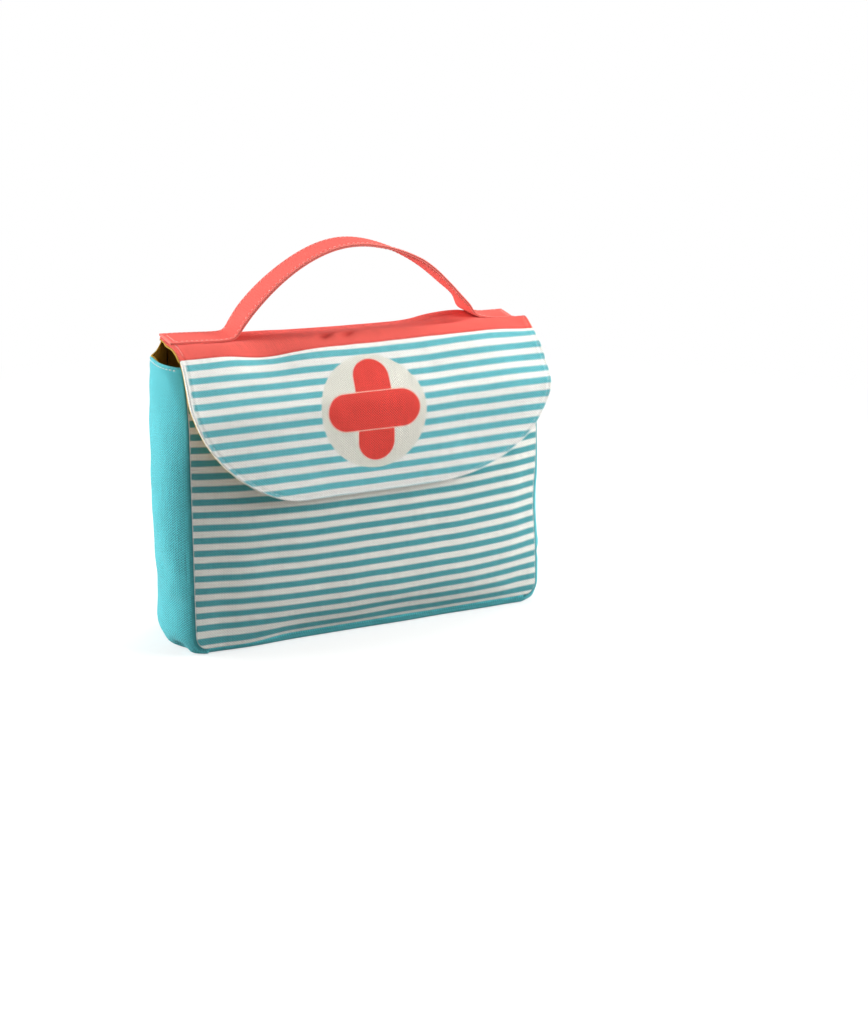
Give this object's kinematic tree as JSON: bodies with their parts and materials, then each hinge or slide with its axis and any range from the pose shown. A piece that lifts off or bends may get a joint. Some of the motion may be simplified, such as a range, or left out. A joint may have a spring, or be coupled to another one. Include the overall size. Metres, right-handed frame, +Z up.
{
  "type": "toy doctor case",
  "caption": "Stiffened cloth case with side gussets, a round-cornered fold-over flap and an arched strap handle.",
  "frame": {"origin": "on the floor, under the middle of the closed case", "axes": "+X to the right when the flap faces the viewer, +Y from the flap's face to the back panel, +Z up"},
  "size_m": [0.2654, 0.097, 0.2454],
  "materials": {
    "striped_canvas": "printed cotton canvas, level teal and white stripes",
    "teal_canvas": "plain cotton canvas",
    "coral_canvas": "plain cotton canvas, topstitched",
    "mustard_lining": "thin plain-weave lining",
    "stiffener_board": "grey board, hidden between the cloths",
    "touch_fastener": "hook and loop tape"
  },
  "bodies": {
    "case": {"front_panel": "striped_canvas", "back_panel": "striped_canvas", "left_gusset": "teal_canvas", "right_gusset": "teal_canvas", "bottom_panel": "teal_canvas", "front_board": "stiffener_board", "back_board": "stiffener_board", "base_board": "stiffener_board", "front_lining": "mustard_lining", "back_lining": "mustard_lining", "left_gusset_lining": "mustard_lining", "right_gusset_lining": "mustard_lining", "bottom_lining": "mustard_lining", "loop_patch": "touch_fastener"},
    "flap_top": {"flap_band": "coral_canvas", "flap_band_lining": "mustard_lining", "handle_left_end": "coral_canvas", "handle_right_end": "coral_canvas"},
    "flap_front": {"flap_panel": "striped_canvas", "flap_panel_lining": "mustard_lining", "hook_patch": "touch_fastener"},
    "handle": {"handle_strap": "coral_canvas"}
  },
  "joints": [
    {"name": "flap_hinge", "type": "hinge", "parent": "case", "child": "flap_top", "pos_m": [0, 0.0305, 0.1904], "axis": [-1, 0, 0], "range_deg": [0, 150]},
    {"name": "flap_fold", "type": "hinge", "parent": "flap_top", "child": "flap_front", "pos_m": [0, -0.0211, 0.1868], "axis": [-1, 0, 0], "range_deg": [0, 60]},
    {"name": "handle_tilt", "type": "hinge", "parent": "flap_top", "child": "handle", "pos_m": [0, 0.0158, 0.1982], "axis": [-1, 0, 0], "range_deg": [-35, 20], "stiffness_Nm_per_rad": 0.02}
  ]
}
